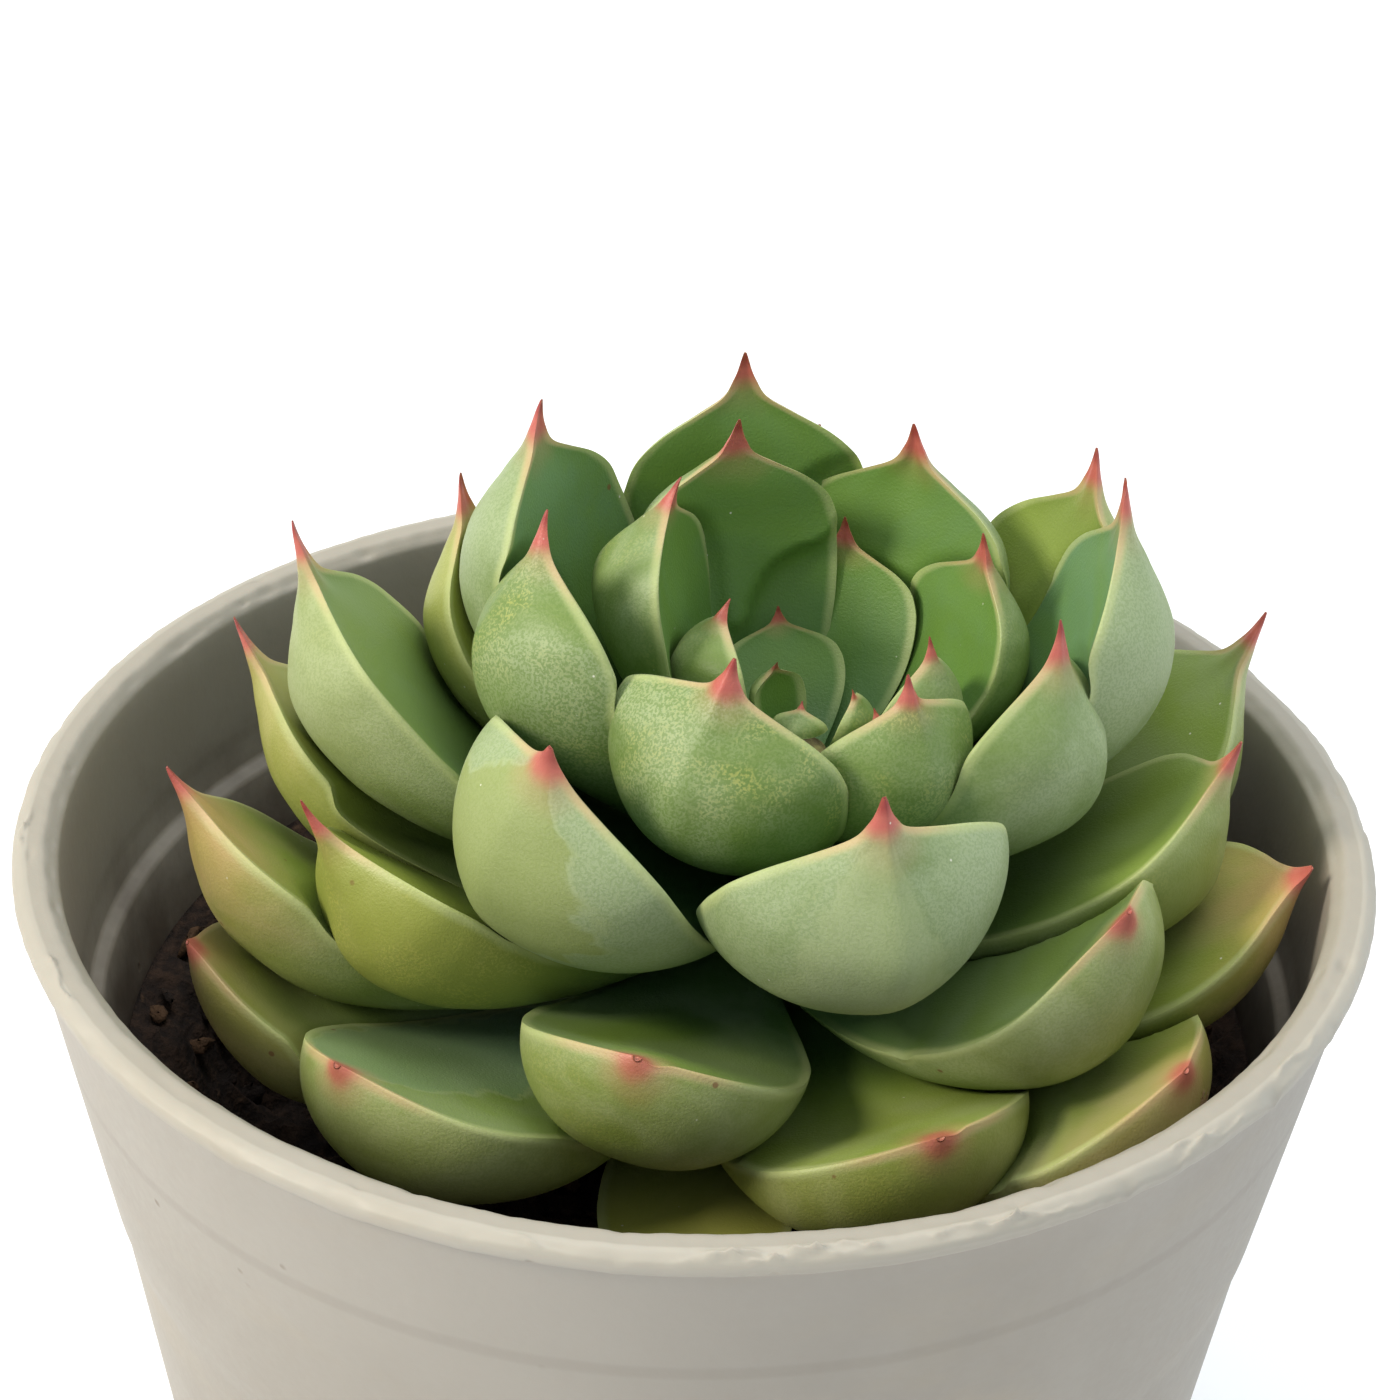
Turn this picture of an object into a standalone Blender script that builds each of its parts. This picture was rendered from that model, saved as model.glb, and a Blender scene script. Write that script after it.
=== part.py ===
# Succulent: an echeveria rosette growing in a 90 mm nursery pot.
# The pot stands on the XY plane with its axis on Z; +X is right, +Y away from the front, +Z up.
# Run with: blender --background --python part.py

import bpy
import bmesh
import math
import numpy as np
from mathutils import Vector

for old in list(bpy.data.objects):
    bpy.data.objects.remove(old, do_unlink=True)

mm = 0.001
gap = 0.3 * mm                   # clearance between pieces that touch

# ---- pot
potHeight = 80 * mm
rimRadius = 45.0 * mm
rimWidth = 1.8 * mm              # flat top of the rim
rimChamfer = 0.9 * mm
lipHeight = 1.4 * mm             # rounded outer edge of the rim
lipProud = 0.3 * mm
collarHeight = 24.8 * mm         # straight-tapered upper band
collarRadius = 40.9 * mm         # outer radius at the collar's lower edge
collarStep = 0.5 * mm
collarStepHeight = 2.0 * mm
footRadius = 33.6 * mm
wallThickness = 1.5 * mm
floorThickness = 2.0 * mm
footRecess = 1.2 * mm            # hollow under the floor
footWidth = 3.0 * mm             # ring that the pot stands on
ledgeDepth = 13.0 * mm           # stacking ledge inside the collar, below the rim
ledgeWidth = 0.9 * mm
ledgeChamfer = 0.6 * mm
edgeRound = 0.4 * mm             # small roundings of the rim and the lip
edgeEase = 0.1 * mm
lipUndercut = 0.2 * mm
footEase = 0.8 * mm
footTop = 1.0 * mm               # where the foot's rounded edge meets the wall
recessDraft = 0.6 * mm
floorCorner = 5.0 * mm           # height where the wall turns into the floor inside
floorRound = 1.5 * mm
turnSteps = 64

# ---- potting mix, a dish that is low under the rosette
mixEdgeDepth = 18.5 * mm         # below the rim, at the wall
mixMiddleDepth = 28.6 * mm
mixEdgeRadius = 36.0 * mm
mixMiddleRadius = 31.0 * mm
mixMiddleRise = 0.6 * mm         # from the middle to the dish's edge
mixEdgeDrop = 1.2 * mm
mixFloorRound = 1.7 * mm

# ---- stem, a short taper that leans a little to the right
stemFoot = Vector((-2.8, 5.1, -36.0)) * mm + Vector((0, 0, potHeight))
stemTop = Vector((7.6, 2.3, 3.4)) * mm + Vector((0, 0, potHeight))
stemFootRadius = 4.2 * mm
stemTopRadius = 1.1 * mm
stemSides = 20

# ---- rosette
firstLeafHeight = 82.5 * mm      # height on the stem of the innermost leaf
leafSpacing = 0.50 * mm          # each next leaf sits this much lower
leafThickness = 0.41             # share of the width
leafCup = 0.2                    # rise of the margins, share of the half width
tipHook = 18                     # extra upward turn of the pointed end, degrees
hookStart = 0.86
leafGap = 0.5 * mm               # kept between a leaf and the ones inside it
thinnest = 1.1 * mm              # of a leaf squeezed between its neighbours
farthestPress = 6.5 * mm
marginPad = 0.45 * mm            # how far beyond the margins a neighbour still counts
bellyPower = 0.65                # how round the underside is across the leaf
stemClearance = 1.1 * mm         # between a leaf's base and the stem's bark

# Leaves from the heart outwards: azimuth of the leaf from +X, rise of its chord, length from the
# stem's axis in mm, width in mm, roll about its length, and how far it curls up along its length.
leaves = (
    (254, 69, 6.0, 4.0, 0, 60),
    (344, 65, 7.0, 5.0, 0, 60),
    (130, 66, 7.5, 4.5, 0, 60),
    (324, 71, 7.5, 6.0, 0, 60),
    (100, 41, 12.5, 8.5, -4, 60),
    (342, 58, 16.0, 9.0, -10, 65),
    (177, 72, 15.5, 9.5, 15, 60),
    (299, 52, 21.5, 12.5, 4, 70),
    (76, 47, 20.5, 12.0, -5, 60),
    (149, 68, 24.5, 14.0, 20, 60),
    (29, 52, 23.5, 13.5, -6, 65),
    (254, 56, 25.0, 17.0, -14, 70),
    (110, 67, 28.0, 15.0, 0, 55),
    (187, 58, 30.0, 16.5, 15, 70),
    (60, 55, 30.0, 18.0, -5, 65),
    (341, 50, 28.5, 17.0, -8, 70),
    (155, 59, 35.0, 18.0, 3, 55),
    (284, 40, 32.0, 20.0, 6, 70),
    (99, 61, 35.0, 18.0, -4, 60),
    (7, 53, 37.0, 17.5, -8, 70),
    (233, 43, 31.0, 20.0, -18, 65),
    (26, 50, 37.5, 17.5, 0, 60),
    (153, 47, 35.0, 15.5, 3, 50),
    (178, 41, 41.5, 18.5, 10, 45),
    (82, 38, 36.5, 17.0, 0, 55),
    (126, 38, 35.0, 17.0, 0, 55),
    (42, 36, 37.0, 16.0, 0, 55),
    (348, 31, 37.5, 17.5, -2, 50),
    (206, 29, 36.5, 18.0, 14, 45),
    (318, 28, 35.5, 19.5, 13, 45),
    (175, 32, 41.5, 15.5, 10, 40),
    (14, 31, 43.0, 18.5, 0, 45),
    (258, 22, 32.0, 18.5, -5, 35),
    (191, 25, 42.5, 18.0, 14, 45),
    (346, 21, 41.5, 17.5, 8, 40),
    (60, 22, 38.0, 16.5, 0, 50),
    (120, 22, 37.5, 16.5, 0, 50),
    (294, 16, 33.5, 20.0, 4, 30),
    (227, 17, 37.0, 20.0, 5, 40),
    (319, 18, 40.0, 20.0, 10, 40),
    (199, 16, 39.0, 17.5, 2, 40),
    (22, 17, 37.0, 14.0, 0, 45),
    (92, 10, 36.0, 15.0, 0, 45),
    (150, 12, 36.0, 15.0, 0, 45),
    (268, 3, 31.0, 13.0, 0, 30),
)

# Leaf outline from its axis end to its tip: share of length, of half width and of thickness.
outline = np.array((
    (0.00, 0.26, 0.40), (0.12, 0.38, 0.52), (0.26, 0.60, 0.76), (0.42, 0.84, 0.95),
    (0.56, 0.97, 1.00), (0.68, 1.00, 0.94), (0.78, 0.93, 0.79), (0.85, 0.75, 0.57),
    (0.895, 0.47, 0.36), (0.925, 0.20, 0.19), (0.96, 0.07, 0.08), (1.00, 0.012, 0.012)))
rows = np.array((0, 0.13, 0.28, 0.44, 0.58, 0.70, 0.80, 0.87, 0.915, 0.955, 1.0))
columns = np.array((-1, -0.68, -0.34, 0, 0.34, 0.68, 1))
midlineSteps = 160
refine = 5                       # subdivisions of each facet when neighbours are compared
rowMargin = 0.01                 # share of the length by which neighbouring rows reach over
pointsAtOnce = 4000
heartLeaves = 7
heartAndMiddleLeaves = 27


def newCollection(name):
    collection = bpy.data.collections.new(name)
    bpy.context.scene.collection.children.link(collection)
    return collection


def newMaterial(name, color, roughness, metallic=0.0):
    material = bpy.data.materials.new(name)
    material.use_nodes = True
    shader = material.node_tree.nodes["Principled BSDF"]
    shader.inputs["Base Color"].default_value = (*color, 1)
    shader.inputs["Roughness"].default_value = roughness
    shader.inputs["Metallic"].default_value = metallic
    material.diffuse_color = (*color, 1)
    return material


parts = newCollection("succulent")
cutters = newCollection("cutters")
materials = {
    "pot_plastic": newMaterial("pot_plastic", (0.56, 0.52, 0.46), 0.55),
    "potting_mix": newMaterial("potting_mix", (0.030, 0.020, 0.016), 0.95),
    "stem_bark": newMaterial("stem_bark", (0.20, 0.19, 0.09), 0.8),
    "leaf_heart": newMaterial("leaf_heart", (0.17, 0.30, 0.12), 0.5),
    "leaf_middle": newMaterial("leaf_middle", (0.30, 0.42, 0.22), 0.5),
    "leaf_outer": newMaterial("leaf_outer", (0.36, 0.42, 0.17), 0.5),
}


def addObject(name, mesh, slot, collection=parts):
    piece = bpy.data.objects.new(name, mesh)
    collection.objects.link(piece)
    if slot:
        mesh.materials.append(materials[slot])
    return piece


def smoothShade(piece, angle=35):
    piece.data.shade_smooth()
    piece.data.set_sharp_from_angle(angle=math.radians(angle))


def turned(name, profile, slot):
    """A solid of revolution from a profile in (radius, height), outer side first, top to bottom."""
    mesh = bpy.data.meshes.new(name)
    points = [(radius, 0, height) for radius, height in profile]
    edges = [(i, i + 1) for i in range(len(points) - 1)]
    if profile[0][0] > 0:
        edges.append((len(points) - 1, 0))
    mesh.from_pydata(points, edges, [])
    piece = addObject(name, mesh, slot)
    screw = piece.modifiers.new("turn", "SCREW")
    screw.steps = turnSteps
    screw.render_steps = turnSteps
    screw.use_merge_vertices = True
    screw.merge_threshold = 0.01 * mm
    return piece


def outerRadius(depth):
    """Outer radius of the pot below the rim's plane."""
    stepEnd = collarHeight + collarStepHeight
    if depth <= collarHeight:
        return rimRadius + (collarRadius - rimRadius) * depth / collarHeight
    share = (depth - stepEnd) / (potHeight - stepEnd)
    return collarRadius - collarStep + (footRadius - collarRadius + collarStep) * max(share, 0)


def innerRadius(depth):
    """Inner radius of the pot's wall; the stacking ledge narrows it from ledgeDepth down."""
    narrowed = ledgeWidth if ledgeDepth < depth < collarHeight else 0
    return outerRadius(depth) - wallThickness - narrowed


def buildPot():
    top = potHeight
    lipRadius = rimRadius + lipProud
    profile = [
        (rimRadius - rimWidth, top),
        (rimRadius - edgeRound, top),
        (lipRadius - edgeEase, top - edgeRound),
        (lipRadius, top - lipHeight / 2),
        (lipRadius - edgeEase, top - lipHeight),
        (outerRadius(lipHeight) - lipUndercut, top - lipHeight - edgeRound),
        (collarRadius, top - collarHeight),
        (collarRadius - collarStep, top - collarHeight - collarStepHeight),
        (footRadius + edgeEase, footTop),
        (footRadius - footEase, 0),
        (footRadius - footWidth, 0),
        (footRadius - footWidth - recessDraft, footRecess),
        (0, footRecess),
        (0, footRecess + floorThickness),
        (innerRadius(potHeight - floorCorner) - floorRound, footRecess + floorThickness),
        (innerRadius(potHeight - floorCorner), floorCorner),
        (innerRadius(collarHeight + collarStepHeight), top - collarHeight - collarStepHeight),
        (innerRadius(collarHeight - edgeEase), top - collarHeight + edgeEase),
        (innerRadius(ledgeDepth + ledgeChamfer), top - ledgeDepth - ledgeChamfer),
        (innerRadius(ledgeDepth), top - ledgeDepth),
        (rimRadius - rimWidth - rimChamfer, top - rimChamfer),
    ]
    smoothShade(turned("pot", profile, "pot_plastic"), 25)


def stemRadius(height):
    share = (height - stemFoot.z) / (stemTop.z - stemFoot.z)
    return stemFootRadius + (stemTopRadius - stemFootRadius) * share


def stemAxis(height):
    return stemFoot + (stemTop - stemFoot) * (height - stemFoot.z) / (stemTop.z - stemFoot.z)


def addStem(name, slot, collection, allowance):
    """The stem's cone, or with an allowance the larger cone that cuts its pocket in the mix."""
    line = stemTop - stemFoot
    mesh = bpy.data.meshes.new(name)
    shape = bmesh.new()
    bmesh.ops.create_cone(
        shape, cap_ends=True, segments=stemSides, radius1=stemFootRadius + allowance,
        radius2=stemTopRadius + allowance, depth=line.length + 2 * allowance)
    shape.to_mesh(mesh)
    shape.free()
    piece = addObject(name, mesh, slot, collection)
    piece.location = (stemTop + stemFoot) / 2
    piece.rotation_mode = "QUATERNION"
    piece.rotation_quaternion = line.to_track_quat("Z", "Y")
    return piece


def buildMix():
    top = potHeight
    floor = footRecess + floorThickness + gap
    lowRadius = innerRadius(potHeight - floorCorner)
    shoulder = collarHeight + collarStepHeight
    profile = [
        (0, top - mixMiddleDepth),
        (mixMiddleRadius, top - mixMiddleDepth + mixMiddleRise),
        (mixEdgeRadius, top - mixEdgeDepth - mixEdgeDrop),
        (innerRadius(mixEdgeDepth) - gap, top - mixEdgeDepth),
        (innerRadius(collarHeight - edgeEase) - gap, top - collarHeight),
        (innerRadius(shoulder) - gap - edgeEase, top - shoulder),
        (lowRadius - gap, floorCorner),
        (lowRadius - mixFloorRound - gap, floor),
        (0, floor),
    ]
    piece = turned("potting_mix", profile, "potting_mix")
    cutter = addStem("stem_pocket", None, cutters, gap)
    cutter.hide_render = True
    cutter.display_type = "WIRE"
    pocket = piece.modifiers.new("stem pocket", "BOOLEAN")
    pocket.operation = "DIFFERENCE"
    pocket.solver = "EXACT"
    pocket.object = cutter
    smoothShade(piece)


def curveThrough(stations, values, at):
    """Smooth cubic through the outline's stations."""
    slopes = np.gradient(values, stations)
    width = np.diff(stations)
    i = np.clip(np.searchsorted(stations, at) - 1, 0, len(width) - 1)
    t = (at - stations[i]) / width[i]
    return ((2 * t**3 - 3 * t**2 + 1) * values[i] + (t**3 - 2 * t**2 + t) * width[i] * slopes[i]
            + (3 * t**2 - 2 * t**3) * values[i + 1] + (t**3 - t**2) * width[i] * slopes[i + 1])


class Leaf:
    """A leaf's curved frame: the midline, the side direction, and the normal along the midline.

    The midline leaves the stem flatter than its chord and curls up towards the tip. Heights are
    measured along the normal, which points to the leaf's upper, inner side."""

    def __init__(self, place, azimuth, rise, length, width, roll, curl):
        height = firstLeafHeight - leafSpacing * place
        azimuth, rise, roll, curl = (math.radians(x) for x in (azimuth, rise, roll, curl))
        level = np.array((math.cos(azimuth), math.sin(azimuth), 0))
        side = np.array((-math.sin(azimuth), math.cos(azimuth), 0))
        along = level * math.cos(rise) + np.array((0, 0, math.sin(rise)))
        normal = np.cross(along, side)
        self.side = side * math.cos(roll) + normal * math.sin(roll)
        normal = normal * math.cos(roll) - side * math.sin(roll)
        share = np.linspace(0, 1, midlineSteps + 1)
        hook = np.clip((share - hookStart) / (1 - hookStart), 0, 1)
        heading = curl * (share - 0.5) + math.radians(tipHook) * hook
        step = np.stack((np.cos(heading), np.sin(heading)), 1)
        path = np.concatenate((np.zeros((1, 2)), np.cumsum((step[1:] + step[:-1]) / 2, 0)))
        turn = -math.atan2(path[-1, 1], path[-1, 0])
        path = path * length * mm / np.hypot(*path[-1])
        swing = np.array(((math.cos(turn), math.sin(turn)), (-math.sin(turn), math.cos(turn))))
        path = path @ swing
        heading = heading + turn
        root = np.array(stemAxis(height))
        self.middle = root + path[:, :1] * along + path[:, 1:] * normal
        self.normal = np.cos(heading)[:, None] * normal - np.sin(heading)[:, None] * along
        self.heading = np.sin(heading)[:, None] * normal + np.cos(heading)[:, None] * along
        away = np.hypot(*(self.middle - root)[:, :2].T)
        dip = max(0, -np.sin(rise - curl / 2)) * farthestPress
        start = share[np.searchsorted(away, stemRadius(height) + stemClearance + dip)]
        self.share = share
        self.rows = start + (1 - start) * rows
        self.halfWidth = curveThrough(outline[:, 0], outline[:, 1], self.rows) * width * mm / 2
        self.depth = curveThrough(outline[:, 0], outline[:, 2], self.rows) * width * mm * leafThickness
        across = np.abs(columns)[None, :]
        cup = leafCup * np.clip(self.rows / 0.5, 0, 1)[:, None]
        self.top = cup * self.halfWidth[:, None] * across**2
        self.bottom = self.top - self.depth[:, None] * np.clip(1 - across**2, 0, 1)**bellyPower

    def at(self, heights):
        """World points of a grid of heights over the leaf's rows and columns."""
        def along(values):
            return np.stack([np.interp(self.rows, self.share, values[:, k]) for k in range(3)], 1)
        across = columns[None, :, None] * self.halfWidth[:, None, None] * self.side
        return along(self.middle)[:, None] + across + heights[..., None] * along(self.normal)[:, None]

    def pressUnder(self, points):
        """Lower the leaf wherever it would come closer than the gap to the given points."""
        own = self.at(self.top).reshape(-1, 3)
        reach = farthestPress + 2 * leafGap
        inside = (points > own.min(0) - reach) & (points < own.max(0) + reach)
        points = points[inside.all(1)]
        nearest = np.empty(len(points), int)
        for first in range(0, len(points), pointsAtOnce):
            block = points[first:first + pointsAtOnce]
            offset = block[:, None] - self.middle[None]
            offset = offset - (offset @ self.side)[..., None] * self.side
            nearest[first:first + pointsAtOnce] = (offset**2).sum(-1).argmin(1)
        offset = points - self.middle[nearest]
        across = offset @ self.side
        height = (offset * self.normal[nearest]).sum(1)
        beyond = np.abs((offset * self.heading[nearest]).sum(1))
        share = self.share[nearest]
        near = (beyond < leafGap) & (height > -farthestPress) & (height < farthestPress)
        limit = np.full(self.top.shape, np.inf)
        last = len(columns) - 1
        for i in range(len(rows)):
            before = self.rows[max(i - 1, 0)] - rowMargin
            after = self.rows[min(i + 1, len(rows) - 1)] + rowMargin
            inRow = near & (share >= before) & (share <= after)
            widest = self.halfWidth[max(i - 1, 0):i + 2].max()
            for j in range(len(columns)):
                left = columns[max(j - 1, 0)] * widest - marginPad
                right = columns[min(j + 1, last)] * widest + marginPad
                cell = height[inRow & (across > left) & (across < right)]
                if len(cell):
                    limit[i, j] = cell.min() - leafGap
        pressed = np.minimum(self.top, limit)
        self.press = float((self.top - pressed).max())
        least = thinnest * np.minimum(self.depth / self.depth.max(), 1)[:, None]
        least = least * (np.abs(columns) < 1)[None, :]
        self.top = pressed
        self.bottom = np.minimum(self.bottom, pressed - least)

    def cloud(self):
        """Points spread over both faces, fine enough for the next leaves to be pressed under."""
        share = np.arange(refine) / refine
        found = []
        for grid in (self.at(self.top), self.at(self.bottom)):
            a, b, c, d = grid[:-1, :-1], grid[1:, :-1], grid[:-1, 1:], grid[1:, 1:]
            for s in share:
                for t in share:
                    cell = (a * (1 - s) + b * s) * (1 - t) + (c * (1 - s) + d * s) * t
                    found.append(cell.reshape(-1, 3))
            found.append(grid[-1:, :].reshape(-1, 3))
            found.append(grid[:, -1:].reshape(-1, 3))
        return np.concatenate(found)

    def mesh(self, name):
        """Closed mesh: both faces share the margins and end in one point at the tip."""
        top, bottom = self.at(self.top), self.at(self.bottom)
        count, width = len(rows) - 1, len(columns)
        upper = np.arange(count * width).reshape(count, width)
        lower = upper.copy()
        lower[:, 1:-1] = count * width + np.arange(count * (width - 2)).reshape(count, width - 2)
        tip = count * width + count * (width - 2)
        points = np.concatenate((
            top[:-1].reshape(-1, 3), bottom[:-1, 1:-1].reshape(-1, 3), top[-1:, width // 2]))
        faces = []
        for j in range(width - 1):
            for i in range(count - 1):
                faces.append((upper[i, j], upper[i + 1, j], upper[i + 1, j + 1], upper[i, j + 1]))
                faces.append((lower[i, j], lower[i, j + 1], lower[i + 1, j + 1], lower[i + 1, j]))
            faces.append((upper[-1, j], tip, upper[-1, j + 1]))
            faces.append((lower[-1, j], lower[-1, j + 1], tip))
        faces.append((*upper[0], *lower[0, -2:0:-1]))
        mesh = bpy.data.meshes.new(name)
        mesh.from_pydata(points.tolist(), [], [[int(k) for k in face] for face in faces])
        shape = bmesh.new()
        shape.from_mesh(mesh)
        bmesh.ops.triangulate(shape, faces=shape.faces)
        shape.to_mesh(mesh)
        shape.free()
        return mesh


def buildRosette():
    cloud = np.empty((0, 3))
    for place, sizes in enumerate(leaves):
        leaf = Leaf(place, *sizes)
        if len(cloud):
            leaf.pressUnder(cloud)
            print("leaf %02d pressed %.2f mm" % (place + 1, leaf.press / mm))
        cloud = np.concatenate((cloud, leaf.cloud()))
        name = "leaf_%02d" % (place + 1)
        slot = ("leaf_heart" if place < heartLeaves
                else "leaf_middle" if place < heartAndMiddleLeaves else "leaf_outer")
        smoothShade(addObject(name, leaf.mesh(name), slot), 60)


buildPot()
buildMix()
smoothShade(addStem("stem", "stem_bark", parts, 0))
buildRosette()
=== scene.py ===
import math
import bpy
import numpy as np
from mathutils import Matrix, Vector


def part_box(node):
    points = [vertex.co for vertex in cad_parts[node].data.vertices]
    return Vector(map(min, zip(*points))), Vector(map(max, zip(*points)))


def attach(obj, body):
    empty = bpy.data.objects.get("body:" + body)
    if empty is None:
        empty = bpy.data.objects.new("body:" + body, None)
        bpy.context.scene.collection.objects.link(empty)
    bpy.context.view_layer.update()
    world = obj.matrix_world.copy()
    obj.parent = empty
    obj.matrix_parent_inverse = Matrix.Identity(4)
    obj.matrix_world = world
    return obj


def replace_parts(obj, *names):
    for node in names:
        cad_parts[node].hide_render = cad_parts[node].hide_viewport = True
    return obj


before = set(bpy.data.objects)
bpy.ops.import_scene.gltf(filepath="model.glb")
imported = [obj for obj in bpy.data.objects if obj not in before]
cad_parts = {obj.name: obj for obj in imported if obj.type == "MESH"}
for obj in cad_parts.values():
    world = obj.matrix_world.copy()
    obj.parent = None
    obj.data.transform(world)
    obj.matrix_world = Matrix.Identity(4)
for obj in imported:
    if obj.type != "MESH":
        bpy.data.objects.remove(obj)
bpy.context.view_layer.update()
mm = 0.001


class Val:
    # wraps a shader socket so that material maths reads as ordinary expressions
    def __init__(self, tree, socket):
        self.tree = tree
        self.socket = socket

    def math(self, operation, *others):
        return self.tree.add("ShaderNodeMath", {"operation": operation}, [self, *others])

    def __add__(self, other):
        return self.math("ADD", other)

    def __sub__(self, other):
        return self.math("SUBTRACT", other)

    def __rsub__(self, other):
        return self.tree.add("ShaderNodeMath", {"operation": "SUBTRACT"}, [other, self])

    def __mul__(self, other):
        return self.math("MULTIPLY", other)

    def __truediv__(self, other):
        return self.math("DIVIDE", other)

    def __pow__(self, other):
        return self.math("POWER", other)

    __radd__ = __add__
    __rmul__ = __mul__

    def clamp(self):
        return self.tree.add("ShaderNodeClamp", {}, [self])

    def step(self, low, high):
        # smooth rise from 0 at low to 1 at high, or a fall if low is the larger
        return self.tree.add("ShaderNodeMapRange", {"interpolation_type": "SMOOTHSTEP"},
                             [self, low, high, 0.0, 1.0])


class Tree:
    def __init__(self, name, **constants):
        self.material = bpy.data.materials.new(name)
        self.material.use_nodes = True
        self.nodes = self.material.node_tree.nodes
        self.links = self.material.node_tree.links
        self.shader = self.nodes["Principled BSDF"]
        for socket, value in constants.items():
            self.shader.inputs[socket.replace("_", " ")].default_value = value

    def put(self, socket, value):
        if isinstance(value, Val):
            self.links.new(value.socket, socket)
        elif isinstance(value, (tuple, list)) and len(value) == 3 and socket.type == "RGBA":
            socket.default_value = (*value, 1)
        else:
            socket.default_value = value

    def add(self, kind, settings, inputs, output=0):
        # one node: its type, settings, values or links of its sockets, and the output wanted
        node = self.nodes.new(kind)
        for name, value in settings.items():
            setattr(node, name, value)
        pairs = inputs.items() if isinstance(inputs, dict) else enumerate(inputs)
        for key, value in pairs:
            self.put(node.inputs[key], value)
        return Val(self, node.outputs[output])

    def attribute(self, name):
        return self.add("ShaderNodeAttribute", {"attribute_name": name}, {}, "Fac")

    def place(self):
        return self.add("ShaderNodeTexCoord", {}, {}, "Object")

    def noise(self, scale, detail=3.0, roughness=0.55, distortion=0.0, at=None):
        # scale is in features per metre
        return self.add("ShaderNodeTexNoise", {}, {
            "Vector": at or self.place(), "Scale": scale, "Detail": detail,
            "Roughness": roughness, "Distortion": distortion}, "Fac")

    def cells(self, scale):
        # distance from the middle of the nearest cell, in cells
        return self.add("ShaderNodeTexVoronoi", {}, {
            "Vector": self.place(), "Scale": scale}, "Distance")

    def stretched(self, x, y, z):
        return self.add("ShaderNodeMapping", {}, {"Vector": self.place(), "Scale": (x, y, z)})

    def mix(self, share, first, second):
        # sockets 0, 6, 7 and output 2 are the factor, the two colours and the mixed colour
        return self.add("ShaderNodeMix", {"data_type": "RGBA", "clamp_factor": True},
                        {0: share, 6: first, 7: second}, 2)

    def bump(self, height, depth, strength=1.0):
        # depth is the real height of the relief, in metres
        return self.add("ShaderNodeBump", {}, {
            "Strength": strength, "Distance": depth, "Height": height}, "Normal")

    def finish(self, color, roughness=None, normal=None):
        self.put(self.shader.inputs["Base Color"], color)
        if roughness is not None:
            self.put(self.shader.inputs["Roughness"], roughness)
        if normal is not None:
            self.put(self.shader.inputs["Normal"], normal)
        return self.material


def shade(red, green, blue):
    # screen colour, 0 to 255, to the linear colour that sockets take
    part = np.array((red, green, blue)) / 255
    return tuple(np.where(part <= 0.04045, part / 12.92, ((part + 0.055) / 1.055) ** 2.4).tolist())


def gridFaces(rows, columns, closed=False):
    # quads over a grid of points; closed joins the last column to the first
    index = np.arange(rows * columns).reshape(rows, columns)
    if closed:
        index = np.concatenate((index, index[:, :1]), 1)
    corners = (index[:-1, :-1], index[1:, :-1], index[1:, 1:], index[:-1, 1:])
    return np.stack(corners, -1).reshape(-1, 4)


def addPiece(name, points, faces, material, attributes=None):
    mesh = bpy.data.meshes.new(name)
    faces = [part for part in faces if len(part)]
    sizes = np.concatenate([np.full(len(part), part.shape[1]) for part in faces])
    corners = np.concatenate([part.ravel() for part in faces])
    mesh.vertices.add(len(points))
    mesh.vertices.foreach_set("co", np.ascontiguousarray(points, np.float32).ravel())
    mesh.loops.add(len(corners))
    mesh.loops.foreach_set("vertex_index", corners.astype(np.int32))
    mesh.polygons.add(len(sizes))
    mesh.polygons.foreach_set("loop_start", (np.cumsum(sizes) - sizes).astype(np.int32))
    mesh.polygons.foreach_set("loop_total", sizes.astype(np.int32))
    mesh.update(calc_edges=True)
    for label, values in (attributes or {}).items():
        layer = mesh.attributes.new(label, "FLOAT", "POINT")
        layer.data.foreach_set("value", np.ascontiguousarray(values, np.float32).ravel())
    mesh.validate()
    mesh.shade_smooth()
    mesh.materials.append(material)
    piece = bpy.data.objects.new(name, mesh)
    bpy.context.scene.collection.objects.link(piece)
    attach(piece, "root")
    return piece


def nodePoints(name):
    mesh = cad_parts[name].data
    points = np.empty(len(mesh.vertices) * 3, np.float32)
    mesh.vertices.foreach_get("co", points)
    return points.reshape(-1, 3).astype(float)


def polygonValues(mesh, name, width):
    values = np.empty(len(mesh.polygons) * width, np.float32)
    mesh.polygons.foreach_get(name, values)
    return values.reshape(-1, width)


def curveThrough(stations, values, at):
    # smooth cubic through given stations
    slopes = np.gradient(values, stations)
    width = np.diff(stations)
    i = np.clip(np.searchsorted(stations, at) - 1, 0, len(width) - 1)
    t = (at - stations[i]) / width[i]
    return ((2 * t**3 - 3 * t**2 + 1) * values[i] + (t**3 - 2 * t**2 + t) * width[i] * slopes[i]
            + (3 * t**2 - 2 * t**3) * values[i + 1] + (t**3 - t**2) * width[i] * slopes[i + 1])


def smooth(low, high, value):
    # numpy counterpart of the shader's smooth step
    t = np.clip((value - low) / (high - low), 0, 1)
    return t * t * (3 - 2 * t)


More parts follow.
